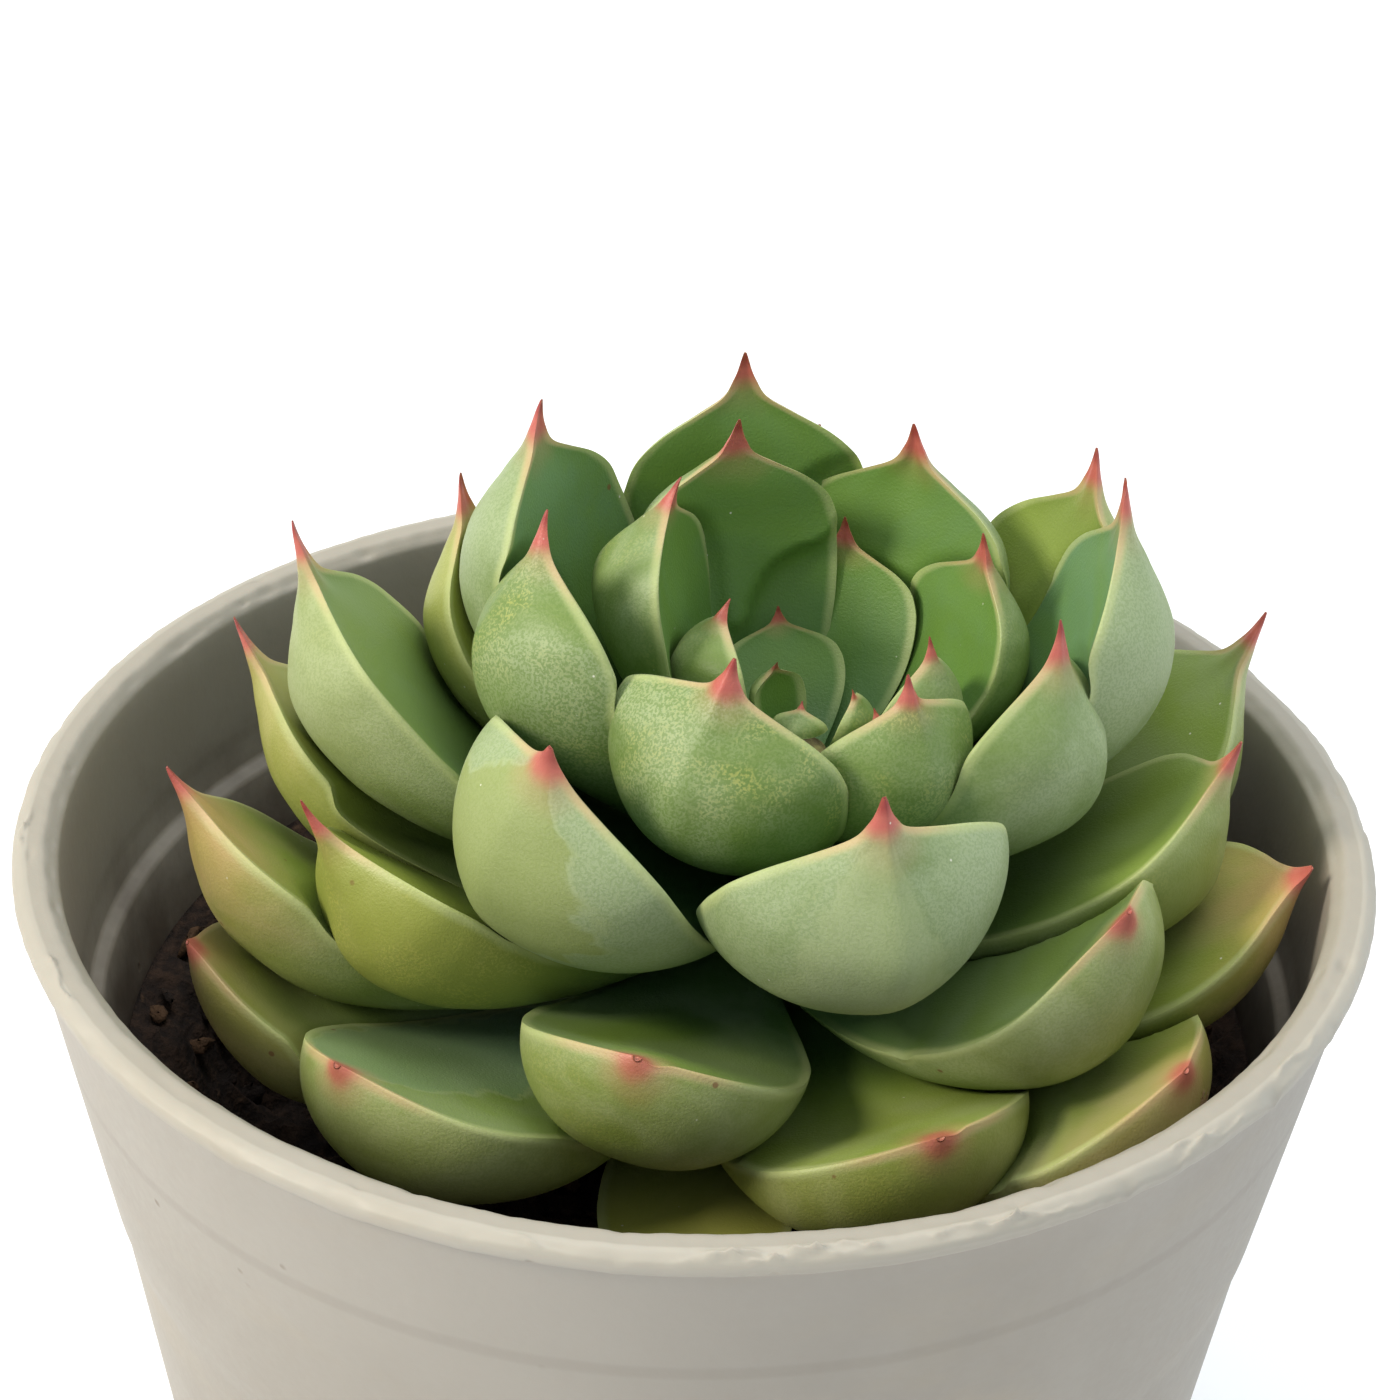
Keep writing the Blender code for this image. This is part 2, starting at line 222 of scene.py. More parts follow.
def ripples(points, size, seed, waves=36):
    # even, gentle noise from -1 to 1: sum of plane waves of about the given length
    rng = np.random.default_rng(seed)
    way = rng.normal(size=(waves, points.shape[-1]))
    steepness = 2 * math.pi / size * rng.uniform(0.5, 1.6, waves)
    way *= (steepness / np.linalg.norm(way, axis=1))[:, None]
    phases = rng.uniform(0, 2 * math.pi, waves)
    total = sum(np.sin(points @ w + phase) for w, phase in zip(way, phases))
    return total / math.sqrt(waves / 2) / 1.6


def blur(field, reach):
    # gaussian smoothing of a 2-D field along both directions, edges held
    size = int(3 * reach + 1)
    kernel = np.exp(-0.5 * (np.arange(-size, size + 1) / reach) ** 2)
    kernel /= kernel.sum()
    for axis in (0, 1):
        padded = np.pad(field, [(size, size) if k == axis else (0, 0) for k in (0, 1)], mode="edge")
        field = sum(weight * np.take(padded, range(i, i + field.shape[axis]), axis)
                    for i, weight in enumerate(kernel))
    return field


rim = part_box("pot")[1].z
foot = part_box("pot")[0].z


def measureStem():
    # the stem's axis: middles of its two end rings
    points = nodePoints("stem")
    low, high = points[:, 2].min(), points[:, 2].max()
    spread = high - low
    bottom = points[points[:, 2] < low + 0.12 * spread].mean(0)
    top = points[points[:, 2] > high - 0.12 * spread].mean(0)
    return bottom, top


stemBottom, stemTop = measureStem()


def stemAxis(height):
    share = (height - stemBottom[2]) / (stemTop[2] - stemBottom[2])
    return stemBottom + (stemTop - stemBottom) * share


leafShape = {
    "firstHeight": 2.5 * mm,   # of the innermost leaf's root, above the rim
    "spacing": 0.50 * mm,      # each next leaf's root is this much lower
    "thickness": 0.40,         # share of the width
    "cup": (0.10, -0.05),      # rise of the margins, share of the half width, young and old leaves
    "cupPlaces": (20, 36),     # places between which it changes from the first to the second
    "cupStart": 0.5,           # share of the length where it is full
    "keel": 0.07,              # share of the thickness
    "keelWidth": 0.2,
    "belly": (0.58, 0.52),     # roundness of the underside, fresh and worn leaves
    "waveDepth": 0.16 * mm,
    "waveSize": 14 * mm,
    "curlLimits": (20, 80),    # degrees
    "crowding": 1.35,          # how much closer the rows are towards the tip
    "firstRow": 0.02,
    "hook": 18.0,              # degrees that the pointed end turns up
    "hookStart": 0.86,
    "gap": 0.12 * mm,          # kept between neighbouring leaves
    "thinnest": 1.0 * mm,
    "softness": 1.7 * mm,      # the most that a leaf gives way to its neighbours
    "rows": 120,
    "columns": 45,
    "midline": 240,
}
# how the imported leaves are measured
leafMeasure = {
    "capFacing": 0.68,         # cosine between the base face's normal and the leaf's direction
    "capReach": 0.2,           # share of the length in which the base face is looked for
    "sameWay": 0.9995,
    "samePlane": 0.03 * mm,
    "leastSide": 0.75,         # below this cosine with the level the measure isn't trusted
    "usualHeading": 30,        # degrees, where no base face is found
    "usualCurl": 60,
    "rounds": 8,
    "damping": 1.6,
}
# how a leaf gives way to the leaves inside it
leafPress = {
    "reach": 8 * mm,
    "every": 4,                # midline points skipped when the nearest one is looked for
    "pointsAtOnce": 20000,
    "bins": (72, 48),          # along and across
    "margin": 1.06,            # width of the bins beyond the leaf's widest place
    "ahead": 1.0 * mm,
    "away": 6.5 * mm,
    "most": 7 * mm,
    "pastMargin": 0.9 * mm,
    "blur": 1.6,
    "wholeBlur": 2.5,
    "wholeShare": 0.4,         # share of the deepest press that a whole row takes
}
# share of length, share of half width, share of thickness; fresh leaves end in a needle and the
# oldest ones in a worn, blunt point
freshOutline = np.array((
    (0.00, 0.26, 0.26), (0.12, 0.38, 0.32), (0.26, 0.60, 0.44), (0.42, 0.84, 0.68),
    (0.55, 0.97, 0.90), (0.65, 1.00, 1.00), (0.73, 0.955, 0.95), (0.79, 0.84, 0.80),
    (0.83, 0.66, 0.60), (0.868, 0.40, 0.38), (0.90, 0.19, 0.21), (0.94, 0.088, 0.10),
    (1.00, 0.012, 0.014)))
wornOutline = np.array((
    (0.00, 0.26, 0.26), (0.12, 0.38, 0.32), (0.26, 0.60, 0.44), (0.42, 0.84, 0.68),
    (0.55, 0.97, 0.90), (0.65, 1.00, 1.00), (0.74, 0.985, 1.02), (0.82, 0.91, 0.95),
    (0.885, 0.76, 0.80), (0.93, 0.58, 0.60), (0.962, 0.38, 0.40), (0.985, 0.17, 0.20),
    (1.00, 0.03, 0.04)))
# what tells single leaves apart: worn point, yellowing, peach end, bloom and its grain. A rubbed
# patch has its face, 0 upper and 1 under, its lower end, slant, left and right sides and amount;
# a scar has its face, place along and across, length and width
leafLooks = {
    "leaf_08": {"grain": 0.9},
    "leaf_12": {"grain": 1.0},
    "leaf_14": {"grain": 1.0, "bloom": 0.45},
    "leaf_16": {"bloom": 0.55},
    "leaf_17": {"bloom": 0.7},
    "leaf_18": {"bloom": 0.75, "rubbed": ((1, 0.3, 0.1, -0.7, 0.3, 0.45),)},
    "leaf_20": {"bloom": 0.9},
    "leaf_21": {"bloom": 0.85, "worn": 0.3, "rubbed": ((1, 0.62, -0.12, -0.8, 0.75, 1.0),)},
    "leaf_22": {"yellow": 0.35},
    "leaf_23": {"yellow": 0.6},
    "leaf_24": {"bloom": 0.6, "yellow": 0.2},
    "leaf_28": {"yellow": 0.3, "worn": 0.2},
    "leaf_29": {"yellow": 0.55, "grain": 0.8, "bloom": 0.05},
    "leaf_30": {"yellow": 0.25, "bloom": 0.6, "worn": 0.6},
    "leaf_31": {"yellow": 0.6, "peach": 0.2},
    "leaf_32": {"yellow": 0.3},
    "leaf_33": {"worn": 1.0, "yellow": 0.25, "bloom": 0.5},
    "leaf_34": {"yellow": 0.35, "peach": 0.7, "worn": 0.3},
    "leaf_35": {"yellow": 0.5, "peach": 0.55, "worn": 0.5},
    "leaf_36": {"yellow": 0.5},
    "leaf_37": {"yellow": 0.45},
    "leaf_38": {"worn": 1.0, "yellow": 0.45, "bloom": 0.4},
    "leaf_39": {"worn": 0.9, "yellow": 0.3, "bloom": 0.6,
                "rubbed": ((0, 0.2, 0.0, -0.9, 0.35, -1.0),)},
    "leaf_40": {"worn": 0.9, "yellow": 0.35, "peach": 0.3, "scar": (1, 0.87, 0.45, 0.07, 0.22)},
    "leaf_41": {"worn": 0.8, "yellow": 0.4, "peach": 0.3},
    "leaf_42": {"yellow": 0.8, "peach": 0.5},
    "leaf_43": {"yellow": 0.8, "peach": 0.5},
    "leaf_44": {"yellow": 0.7, "peach": 0.4},
    "leaf_45": {"worn": 0.8, "yellow": 1.0},
}


def measureLeaf(name, place):
    # root from the stem's axis, tip from the farthest vertex, side direction and curl from the
    # flat face at the leaf's base, whose normal is the midline's first heading
    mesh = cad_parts[name].data
    points = nodePoints(name)
    root = stemAxis(rim + leafShape["firstHeight"] - leafShape["spacing"] * place)
    tip = points[((points - root) ** 2).sum(1).argmax()]
    length = np.linalg.norm(tip - root)
    along = (tip - root) / length
    normals, centres = polygonValues(mesh, "normal", 3), polygonValues(mesh, "center", 3)
    areas = polygonValues(mesh, "area", 1)[:, 0]
    facing = -(normals @ along)
    start = ((points - root) @ along).min()
    near = ((centres - root) @ along) < start + leafMeasure["capReach"] * (length - start)
    best, cap = 0, None
    for k in np.nonzero(near & (facing > leafMeasure["capFacing"]))[0]:
        flat = normals @ normals[k] > leafMeasure["sameWay"]
        flat &= np.abs((centres - centres[k]) @ normals[k]) < leafMeasure["samePlane"]
        if areas[flat].sum() > best:
            best, cap = areas[flat].sum(), normals[k]
    level = np.cross((0, 0, 1), along)
    level /= np.linalg.norm(level)
    side, first = level, math.radians(leafMeasure["usualHeading"])
    if cap is not None:
        heading = -cap.astype(float)
        side = np.cross(along, heading)
        side /= max(np.linalg.norm(side), 1e-9)
        first = math.acos(min(1, heading @ along))
        if side @ level < leafMeasure["leastSide"]:
            print(name, "keeps its side level, measured", round(float(side @ level), 2))
            side = level
    extent = points @ side
    return {
        "root": root, "length": length, "along": along, "side": side,
        "normal": np.cross(along, side), "width": extent.max() - extent.min(),
        "first": first, "place": place, "start": start / length}


def midline(leaf, curl, hooked):
    # heading turns steadily by curl over the length and by the hook near the tip
    share = np.linspace(0, 1, leafShape["midline"] + 1)
    hook = np.clip((share - leafShape["hookStart"]) / (1 - leafShape["hookStart"]), 0, 1)
    heading = curl * (share - 0.5) + math.radians(leafShape["hook"] * hooked) * hook
    step = np.stack((np.cos(heading), np.sin(heading)), 1)
    path = np.concatenate((np.zeros((1, 2)), np.cumsum((step[1:] + step[:-1]) / 2, 0)))
    turn = -math.atan2(path[-1, 1], path[-1, 0])
    path = path * leaf["length"] / np.hypot(*path[-1])
    swing = np.array(((math.cos(turn), math.sin(turn)), (-math.sin(turn), math.cos(turn))))
    return share, path @ swing, heading + turn


class Leaf:
    # a leaf as heights of its two faces over a grid of rows along the midline and columns across
    def __init__(self, leaf, looks):
        self.leaf = leaf
        worn = looks.get("worn", 0)
        hooked = 1 - 0.8 * worn
        start = max(leaf["start"], leafShape["firstRow"])
        curl = math.radians(leafMeasure["usualCurl"])
        least, most = (math.radians(limit) for limit in leafShape["curlLimits"])
        for _ in range(leafMeasure["rounds"]):
            share, path, heading = midline(leaf, curl, hooked)
            first = np.interp(start, share, heading)
            curl = np.clip(curl + leafMeasure["damping"] * (leaf["first"] + first), least, most)
        share, path, heading = midline(leaf, curl, hooked)
        self.curl = math.degrees(curl)
        self.share = share
        along, normal = leaf["along"], leaf["normal"]
        self.middle = leaf["root"] + path[:, :1] * along + path[:, 1:] * normal
        self.normal = np.cos(heading)[:, None] * normal - np.sin(heading)[:, None] * along
        self.heading = np.sin(heading)[:, None] * normal + np.cos(heading)[:, None] * along
        t = np.linspace(0, 1, leafShape["rows"])
        self.rows = start + (1 - start) * (1 - (1 - t) ** leafShape["crowding"])
        self.columns = np.sin(np.linspace(-1, 1, leafShape["columns"]) * math.pi / 2)
        half = leaf["width"] / 2
        outline = freshOutline * (1 - worn) + wornOutline * worn
        wide = curveThrough(outline[:, 0], outline[:, 1], self.rows)
        self.halfWidth = np.maximum(wide, 0.01) * half
        thick = curveThrough(outline[:, 0], outline[:, 2], self.rows)
        self.depth = thick * 2 * half * leafShape["thickness"]
        v = self.columns[None, :]
        u = self.rows[:, None]
        young, old = leafShape["cup"]
        self.cup = young + (old - young) * smooth(*leafShape["cupPlaces"], leaf["place"])
        cup = self.cup * np.clip(u / leafShape["cupStart"], 0, 1) * self.halfWidth[:, None]
        spot = np.stack(np.broadcast_arrays(u * leaf["length"], v * half), -1)
        wave = leafShape["waveDepth"] * ripples(spot, leafShape["waveSize"], leaf["place"])
        self.top = cup * v**2 + wave * (1 - v**2) * smooth(1, 0.9, u)
        keel = leafShape["keel"] * (1 - worn) * np.exp(-(v / leafShape["keelWidth"]) ** 2)
        keel = keel * smooth(0.55, 0.8, u) * smooth(0.96, 0.88, u)
        fresh, blunt = leafShape["belly"]
        belly = np.clip(1 - v**2, 0, 1) ** (fresh + (blunt - fresh) * worn)
        self.bottom = self.top - self.depth[:, None] * belly * (1 + keel)
        self.push = 0.0

    def at(self, heights):
        def along(values):
            return np.stack([np.interp(self.rows, self.share, values[:, k]) for k in range(3)], 1)
        across = self.columns[None, :, None] * self.halfWidth[:, None, None] * self.leaf["side"]
        raised = heights[..., None] * along(self.normal)[:, None]
        return along(self.middle)[:, None] + across + raised

    def pressUnder(self, points):
        # the leaf gives way, along its own normal, to the leaves inside it
        own = self.at(self.top).reshape(-1, 3)
        low, high = own.min(0) - leafPress["reach"], own.max(0) + leafPress["reach"]
        points = points[((points > low) & (points < high)).all(1)]
        every, atOnce = leafPress["every"], leafPress["pointsAtOnce"]
        side = self.leaf["side"]
        coarse = self.middle[::every]
        coarse = coarse - (coarse @ side)[:, None] * side
        nearest = np.empty(len(points), int)
        for first in range(0, len(points), atOnce):
            block = points[first:first + atOnce]
            flat = block - (block @ side)[:, None] * side
            distance = (flat**2).sum(1)[:, None] - 2 * flat @ coarse.T + (coarse**2).sum(1)
            nearest[first:first + atOnce] = distance.argmin(1) * every
        offset = points - self.middle[nearest]
        ahead = (offset * self.heading[nearest]).sum(1)
        share = np.clip(self.share[nearest] + ahead / self.leaf["length"], 0, 1)
        across = offset @ side
        height = (offset * self.normal[nearest]).sum(1)
        bins, margin = leafPress["bins"], leafPress["margin"]
        half = self.halfWidth.max()
        row = (share * bins[0]).astype(int)
        column = ((across / half * 0.5 / margin + 0.5) * bins[1]).astype(int)
        near = (np.abs(ahead) < leafPress["ahead"]) & (np.abs(height) < leafPress["away"])
        near &= (row >= 0) & (row < bins[0]) & (column >= 0) & (column < bins[1])
        limit = np.full(bins, 1.0)
        np.minimum.at(limit, (row[near], column[near]), height[near])
        grown = limit.copy()
        for i in (-1, 0, 1):
            for j in (-1, 0, 1):
                grown = np.minimum(grown, np.roll(np.roll(limit, i, 0), j, 1))
        rowAt = (np.arange(bins[0]) + 0.5) / bins[0]
        columnAt = ((np.arange(bins[1]) + 0.5) / bins[1] - 0.5) * 2 * margin
        cup = self.cup * np.clip(rowAt / leafShape["cupStart"], 0, 1)
        wide = np.interp(rowAt, self.rows, self.halfWidth)
        v = np.clip(columnAt[None, :] * half / wide[:, None], -1, 1)
        top = cup[:, None] * wide[:, None] * v**2
        push = np.clip(top - (grown - leafShape["gap"]), 0, leafPress["most"])
        push[np.abs(columnAt[None, :]) * half > wide[:, None] + leafPress["pastMargin"]] = 0
        most = leafShape["softness"]
        push = most * np.tanh(blur(push, leafPress["blur"]) / most)
        whole = leafPress["wholeShare"] * push.max(1, keepdims=True)
        whole = blur(whole + 0 * push, leafPress["wholeBlur"])  # a row gives way as a whole
        push = np.maximum(push, whole)
        self.push = push.max()
        # the press is carried from the bins to the leaf's rows and columns
        r = np.clip(self.rows * bins[0] - 0.5, 0, bins[0] - 1.001)
        c = self.columns[None, :] * self.halfWidth[:, None] / half * 0.5 / margin + 0.5
        c = np.clip(c * bins[1] - 0.5, 0, bins[1] - 1.001)
        r = np.broadcast_to(r[:, None], c.shape)
        i, j = r.astype(int), c.astype(int)
        a, b = r - i, c - j

        def sampled(field):
            return ((field[i, j] * (1 - a) + field[i + 1, j] * a) * (1 - b)
                    + (field[i, j + 1] * (1 - a) + field[i + 1, j + 1] * a) * b)
        least = leafShape["thinnest"] * np.minimum(self.depth / self.depth.max(), 1)[:, None]
        least = least * np.clip(1 - self.columns[None, :] ** 2, 0, 1) ** 0.5
        self.top = self.top - sampled(push)
        self.bottom = np.minimum(self.bottom - sampled(whole), self.top - least)

    def cloud(self):
        upper, lower = self.at(self.top)[::2, ::2], self.at(self.bottom)[::2, ::2]
        return np.concatenate((upper.reshape(-1, 3), lower.reshape(-1, 3)))

    def rubbed(self, looks, loop, v, under):
        # where the bloom is wiped off up to a crisp, slanting edge; negative where it is thicker
        u, v = np.broadcast_arrays(self.rows[:, None], v[None, :])
        ragged = 0.02 * ripples(loop, 3 * mm, 5) + 0.006 * ripples(loop, 0.8 * mm, 6)
        total = np.zeros(u.shape)
        crisp, soft = 0.008, 0.05
        for face, low, slant, left, right, amount in looks.get("rubbed", ()):
            inside = smooth(low - crisp, low + crisp, u + slant * v + ragged)
            inside = inside * smooth(left - soft, left + soft, v + ragged * 3)
            inside = inside * smooth(right + soft, right - soft, v - ragged * 3)
            total = total + amount * inside * (np.abs(under[None, :] - face) < 0.4)
        return total

    def surface(self, looks):
        # rows of closed loops: along the upper face from margin to margin, then back underneath
        upper, lower = self.at(self.top), self.at(self.bottom)
        loop = np.concatenate((upper, lower[:, -2:0:-1]), 1)
        rows, around = loop.shape[:2]
        faces = gridFaces(rows, around, closed=True)
        base = np.arange(around)[::-1][None, :]
        end = ((rows - 1) * around + np.arange(around))[None, :]
        v = np.concatenate((self.columns, self.columns[-2:0:-1]))
        count = len(self.columns)
        under = np.concatenate((np.zeros(count), np.ones(count - 2)))
        under[[0, count - 1]] = 0.5

        def fromMargin(face):
            walk = np.concatenate((np.zeros((rows, 1)), np.cumsum(
                np.linalg.norm(np.diff(face, axis=1), axis=-1), 1)), 1)
            return np.minimum(walk, walk[:, -1:] - walk)
        edge = np.concatenate((fromMargin(upper), fromMargin(lower)[:, -2:0:-1]), 1)
        shape = (rows, around)
        beyond = np.linalg.norm(loop - loop[-1].mean(0), axis=-1)
        marks = {
            "along": np.broadcast_to(self.rows[:, None], shape),
            "across": np.broadcast_to(v[None, :], shape),
            "under": np.broadcast_to(under[None, :], shape),
            "edge": edge / mm,
            "toTip": beyond / mm * max(1, 3.3 / (0.12 * self.leaf["length"] / mm)),
        }
        for label in ("yellow", "peach", "worn"):
            marks[label] = np.full(shape, looks.get(label, 0.0))
        marks["rubbed"] = self.rubbed(looks, loop, v, under)
        face, at, over, long, wide = looks.get("scar", (1, 0, 0, 1, 1))
        spot = ((self.rows[:, None] - at) / long) ** 2 + ((v[None, :] - over) / wide) ** 2
        scar = smooth(1.2, 0.5, spot + 0.7 * ripples(loop, 1.4 * mm, 8))
        marks["scar"] = scar * (np.abs(under - face) < 0.4) * ("scar" in looks)
        marks["bloom"] = np.full(shape, looks.get("bloom", 0.5))
        marks["grain"] = np.full(shape, looks.get("grain", 0.45))
        return loop.reshape(-1, 3), [faces, base, end], marks


def leafMaterial():
    t = Tree("leafSkin", Roughness=0.5, Subsurface_Weight=0.1, Subsurface_Scale=1.0 * mm,
             Specular_IOR_Level=0.35)
    t.shader.inputs["Subsurface Radius"].default_value = (0.8, 1.0, 0.35)
    along, across, under = t.attribute("along"), t.attribute("across"), t.attribute("under")
    edge, toTip, age = t.attribute("edge"), t.attribute("toTip"), t.attribute("age")
    yellow, peach, bloom = t.attribute("yellow"), t.attribute("peach"), t.attribute("bloom")
    granular, worn, rubbed = t.attribute("grain"), t.attribute("worn"), t.attribute("rubbed")
    grain = t.noise(5200, 2.0, 0.6)
    blotch = t.noise(190, 3.0, 0.55, 0.4)
    patch = t.noise(70, 4.0, 0.6, 1.0)
    fleck = grain.step(0.44, 0.58)
    # waxy bloom over green, thickest on the outer face of younger leaves
    wax = (bloom + (patch - 0.5) * 1.6 + (blotch - 0.5) * 0.5).step(0.15, 0.95)
    outer = t.mix(wax, shade(108, 130, 60), shade(154, 168, 126))
    outer = t.mix(fleck * granular * 0.6, outer, shade(98, 124, 54))
    golden = (grain.step(0.5, 0.4) * granular * blotch.step(0.45, 0.6) * (wax * -1 + 1)).clamp()
    outer = t.mix(golden * 0.5, outer, shade(186, 182, 96))
    outer = t.mix(along.step(0.62, 0.3) * 0.7, outer, shade(86, 124, 58))
    film = (patch * 0.6 + bloom * 0.5).step(0.45, 0.95)
    inner = t.mix(film, shade(100, 134, 54), shade(98, 134, 98))
    inner = t.mix(along.step(0.8, 0.3) * 0.75, inner, shade(48, 88, 40))
    inner = t.mix(age.step(0.55, 0.8) * wax * 0.7, inner, shade(124, 146, 116))
    color = t.mix(under.step(0.4, 0.6), inner, outer)
    color = t.mix(rubbed * 0.62, color, shade(140, 150, 78))
    color = t.mix(rubbed * -0.6, color, shade(104, 142, 116))
    thick = rubbed * -1
    rubEdge = rubbed.step(0.1, 0.45) * rubbed.step(0.9, 0.55)
    rubEdge = rubEdge + thick.step(0.1, 0.45) * thick.step(0.9, 0.55)
    color = t.mix(rubEdge * 0.22, color, shade(180, 192, 150))
    ageing = (yellow * along.step(0.3, 0.8) + (patch - 0.5) * 0.5 * yellow).clamp()
    color = t.mix(ageing * 0.8, color, shade(176, 172, 78))
    blushed = peach * (along + (patch - 0.5) * 0.35).step(0.70, 1.0)
    color = t.mix(blushed * 0.75, color, shade(208, 142, 98))
    line = (edge + (blotch - 0.5) * 0.5).step(0.9, 0.25)
    color = t.mix(line * along.step(0.25, 0.6) * 0.55, color, shade(182, 190, 130))
    blush = edge.step(0.8, 0.2) * toTip.step(8, 4)
    color = t.mix(blush * 0.4, color, shade(204, 150, 120))
    halo = (toTip + (blotch - 0.5) * 3.0).step(5.5 - worn * 2.0, 2.4 - worn * 0.8)
    color = t.mix(halo * 0.3, color, shade(186, 140, 104))
    tip = (toTip + (blotch - 0.5) * 1.6 + worn * 1.5).step(3.5, 2.0)
    color = t.mix(tip * (0.88 - worn * 0.15), color, shade(188, 88, 84))
    color = t.mix(toTip.step(1.6, 0.5) * (1 - worn), color, shade(150, 62, 58))
    scar = t.attribute("scar")
    color = t.mix(scar * 0.85, color, t.mix(fleck, shade(142, 106, 80), shade(182, 150, 122)))
    dots = t.cells(260).step(0.07, 0.04) * t.noise(45, 1.0, 0.5, 0.0).step(0.56, 0.62)
    color = t.mix(dots * 0.7, color, shade(120, 72, 48))
    dust = t.cells(420).step(0.045, 0.02) * t.noise(60, 1.0).step(0.5, 0.58)
    color = t.mix(dust * 0.8, color, shade(226, 224, 206))
    relief = t.bump(grain * 0.8 + blotch * 0.8 + scar * grain * 5, 0.05 * mm, 0.8)
    roughness = 0.42 + wax * 0.14 - tip * 0.05
    return t.finish(color, roughness, relief)


def buildLeaves():
    material = leafMaterial()
    names = sorted(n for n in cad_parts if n.startswith("leaf"))
    cloud = np.empty((0, 3))
    for place, name in enumerate(names):
        looks = leafLooks.get(name, {})
        leaf = Leaf(measureLeaf(name, place), looks)
        if len(cloud):
            leaf.pressUnder(cloud)
        cloud = np.concatenate((cloud, leaf.cloud()))
        points, faces, marks = leaf.surface(looks)
        marks["age"] = np.full(len(points), place / (len(names) - 1))
        piece = addPiece("leafSkin_" + name[-2:], points, faces, material, marks)
        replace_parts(piece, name)
        info = leaf.leaf
        print("%s length %.1f width %.1f curl %.0f press %.1f" % (
            name, info["length"] / mm, info["width"] / mm, leaf.curl, leaf.push / mm))


potShape = {
    "turns": 720,
    "rimBand": 2.6 * mm,       # depth below the rim that is modelled finely
    "fine": 0.17 * mm,
    "coarse": 2.4 * mm,
    "corner": 0.3 * mm,        # rounding of the profile's corners
    "endRadius": 0.4 * mm,
    "chips": 150,
    "chippedSide": 5.4,        # radians; chips are deeper near it
    "strings": 16,             # of moulding flash
    "stringSides": (5.35, 4.9, 3.6, 1.0),
    "stringWidth": 0.16 * mm,
    "stringHeight": 0.26 * mm,
    "ringDepth": 10.5 * mm,    # of the faint line round the collar, below the rim
    "soilDepth": 17 * mm,
}


def meridian(name):
    # a turned node's profile in radius and height, walked along its edges from the axis below
    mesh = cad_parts[name].data
    points = nodePoints(name)
    flat = (np.abs(points[:, 1]) < 0.02 * mm) & (points[:, 0] > -0.02 * mm)
    ends = np.empty(len(mesh.edges) * 2, np.int32)
    mesh.edges.foreach_get("vertices", ends)
    keys = {i: (round(points[i, 0] / mm, 2), round(points[i, 2] / mm, 2))
            for i in np.nonzero(flat)[0]}
    links = {}
    for i, j in ends.reshape(-1, 2):
        if i in keys and j in keys and keys[i] != keys[j]:
            links.setdefault(keys[i], set()).add(keys[j])
            links.setdefault(keys[j], set()).add(keys[i])
    ends = sorted((k for k in links if len(links[k]) == 1), key=lambda k: k[1])
    here = ends[0]
    path = [(0.0, here[1]), here]
    while True:
        ahead = [k for k in links[here] if k not in path]
        if not ahead:
            return np.array(path + [(0.0, here[1])]) * mm
        here = ahead[0]
        path.append(here)


def refined(path):
    # softened corners, and close points in the band at the rim
    points = [path[0]]
    for before, corner, after in zip(path[:-2], path[1:-1], path[2:]):
        lengthIn, lengthOut = np.linalg.norm(corner - before), np.linalg.norm(after - corner)
        reach = min(potShape["corner"], lengthIn / 3, lengthOut / 3)
        into = (before - corner) / lengthIn * reach
        out = (after - corner) / lengthOut * reach
        points += [corner + into, corner + (into + out) / 4, corner + out]
    points.append(path[-1])
    result = []
    for a, b in zip(points[:-1], points[1:]):
        band = potShape["rimBand"]
        near = max(a[1], b[1]) > rim - band and min(a[1], b[1]) > rim - 2 * band
        step = potShape["fine"] if near else potShape["coarse"]
        count = max(1, math.ceil(np.linalg.norm(b - a) / step))
        result += [a + (b - a) * k / count for k in range(count)]
    result.append(points[-1])
    return np.array(result)


def turnedPiece(name, profile, marks):
    # the profile carried once round the axis; both ends on the axis are closed by a small face
    profile = profile.copy()
    profile[[0, -1], 0] = potShape["endRadius"]
    turns = potShape["turns"]
    angle = np.linspace(0, 2 * math.pi, turns, endpoint=False)
    radius, height = wearRim(profile[:, :1] + 0 * angle, profile[:, 1:] + 0 * angle, angle)
    points = np.stack((radius * np.cos(angle), radius * np.sin(angle), height), -1).reshape(-1, 3)
    faces = gridFaces(len(profile), turns, closed=True)[:, ::-1]
    first = np.arange(turns)[::-1][None, :]
    last = ((len(profile) - 1) * turns + np.arange(turns))[None, :]
    return addPiece(name, points, [faces, first, last], potMaterial(), marks)


